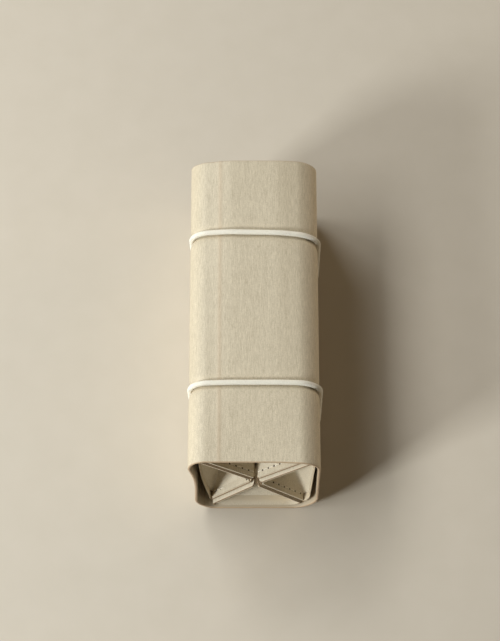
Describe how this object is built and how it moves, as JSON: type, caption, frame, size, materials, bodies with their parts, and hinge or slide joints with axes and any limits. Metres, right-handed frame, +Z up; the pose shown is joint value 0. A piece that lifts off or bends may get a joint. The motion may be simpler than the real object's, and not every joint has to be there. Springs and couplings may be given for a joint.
{
  "type": "knitting accessory roll",
  "caption": "Square leather roll of folding tray compartments wrapped in one cover and held shut by elastic loops; unrolls flat to open the trays.",
  "frame": {"origin": "middle of the roll on the surface that it lies on", "axes": "+Y along the roll away from the pictured end, +X to the right of that end, +Z up"},
  "size_m": [0.072, 0.17, 0.069],
  "materials": {
    "cover_leather": "pale smooth-grained leather, matt",
    "tray_leather": "thin pale leather, matt, folded and stitched",
    "elastic_cord": "braided cream elastic cord"
  },
  "bodies": {
    "bottom_side": {"cover_bottom_panel": "cover_leather", "bottom_tray_base": "tray_leather", "bottom_tray_front_gusset": "tray_leather", "bottom_tray_rear_gusset": "tray_leather"},
    "right_side": {"cover_right_panel": "cover_leather", "right_tray_base": "tray_leather", "right_tray_front_gusset": "tray_leather", "right_tray_rear_gusset": "tray_leather"},
    "top_side": {"cover_top_panel": "cover_leather", "top_tray_base": "tray_leather", "top_tray_front_gusset": "tray_leather", "top_tray_rear_gusset": "tray_leather"},
    "left_side": {"cover_left_panel": "cover_leather", "left_tray_base": "tray_leather", "left_tray_front_gusset": "tray_leather", "left_tray_rear_gusset": "tray_leather"},
    "bottom_first_wall": {"bottom_tray_first_wall": "tray_leather"},
    "bottom_second_wall": {"bottom_tray_second_wall": "tray_leather"},
    "right_first_wall": {"right_tray_first_wall": "tray_leather"},
    "right_second_wall": {"right_tray_second_wall": "tray_leather"},
    "top_first_wall": {"top_tray_first_wall": "tray_leather"},
    "top_second_wall": {"top_tray_second_wall": "tray_leather"},
    "left_first_wall": {"left_tray_first_wall": "tray_leather"},
    "left_second_wall": {"left_tray_second_wall": "tray_leather"},
    "front_elastic": {"front_elastic_loop": "elastic_cord"},
    "rear_elastic": {"rear_elastic_loop": "elastic_cord"}
  },
  "joints": [
    {"name": "unroll", "type": "hinge", "parent": "bottom_side", "child": "right_side", "pos_m": [0.02861, 0, 0.00439], "axis": [0, 1, 0], "range_deg": [0, 90], "deforming": ["front_elastic_loop", "rear_elastic_loop"]},
    {"name": "right_to_top_fold", "type": "hinge", "parent": "right_side", "child": "top_side", "pos_m": [0.02978, 0, 0.06278], "axis": [0, 1, 0], "range_deg": [0, 90]},
    {"name": "top_to_left_fold", "type": "hinge", "parent": "top_side", "child": "left_side", "pos_m": [-0.03036, 0, 0.06336], "axis": [0, 1, 0], "range_deg": [0, 90]},
    {"name": "bottom_first_wall_fold", "type": "hinge", "parent": "bottom_side", "child": "bottom_first_wall", "pos_m": [-0.02053, 0, 0.00429], "axis": [0, -1, 0], "range_deg": [0, 22.5], "deforming": ["bottom_tray_front_gusset", "bottom_tray_rear_gusset"]},
    {"name": "bottom_second_wall_fold", "type": "hinge", "parent": "bottom_side", "child": "bottom_second_wall", "pos_m": [0.02354, 0, 0.00588], "axis": [0, 1, 0], "range_deg": [0, 22.5]},
    {"name": "right_first_wall_fold", "type": "hinge", "parent": "right_side", "child": "right_first_wall", "pos_m": [0.0242, 0, 0.00711], "axis": [0, -1, 0], "range_deg": [0, 22.5], "deforming": ["right_tray_front_gusset", "right_tray_rear_gusset"]},
    {"name": "right_second_wall_fold", "type": "hinge", "parent": "right_side", "child": "right_second_wall", "pos_m": [0.0273, 0, 0.05958], "axis": [0, 1, 0], "range_deg": [0, 22.5]},
    {"name": "top_first_wall_fold", "type": "hinge", "parent": "top_side", "child": "top_first_wall", "pos_m": [0.02671, 0, 0.06085], "axis": [0, -1, 0], "range_deg": [0, 22.5], "deforming": ["top_tray_front_gusset", "top_tray_rear_gusset"]},
    {"name": "top_second_wall_fold", "type": "hinge", "parent": "top_side", "child": "top_second_wall", "pos_m": [-0.02748, 0, 0.06125], "axis": [0, 1, 0], "range_deg": [0, 22.5]},
    {"name": "left_first_wall_fold", "type": "hinge", "parent": "left_side", "child": "left_first_wall", "pos_m": [-0.02728, 0, 0.05926], "axis": [0, -1, 0], "range_deg": [0, 22.5], "deforming": ["left_tray_front_gusset", "left_tray_rear_gusset"]},
    {"name": "left_second_wall_fold", "type": "hinge", "parent": "left_side", "child": "left_second_wall", "pos_m": [-0.02062, 0, 0.0063], "axis": [0, 1, 0], "range_deg": [0, 22.5]},
    {"name": "front_elastic_slip", "type": "slide", "parent": "bottom_side", "child": "front_elastic", "axis": [0, -1, 0], "range_m": [0, 0.06]},
    {"name": "rear_elastic_slip", "type": "slide", "parent": "bottom_side", "child": "rear_elastic", "axis": [0, 1, 0], "range_m": [0, 0.06]}
  ],
  "couplings": [
    {"joint": "right_to_top_fold", "follows": "unroll", "ratio": 1},
    {"joint": "top_to_left_fold", "follows": "unroll", "ratio": 1},
    {"joint": "bottom_first_wall_fold", "follows": "unroll", "ratio": 0.25},
    {"joint": "bottom_second_wall_fold", "follows": "unroll", "ratio": 0.25},
    {"joint": "right_first_wall_fold", "follows": "unroll", "ratio": 0.25},
    {"joint": "right_second_wall_fold", "follows": "unroll", "ratio": 0.25},
    {"joint": "top_first_wall_fold", "follows": "unroll", "ratio": 0.25},
    {"joint": "top_second_wall_fold", "follows": "unroll", "ratio": 0.25},
    {"joint": "left_first_wall_fold", "follows": "unroll", "ratio": 0.25},
    {"joint": "left_second_wall_fold", "follows": "unroll", "ratio": 0.25},
    {"joint": "front_elastic_slip", "follows": "unroll", "m_per_rad": 0.038},
    {"joint": "rear_elastic_slip", "follows": "unroll", "m_per_rad": 0.038}
  ]
}
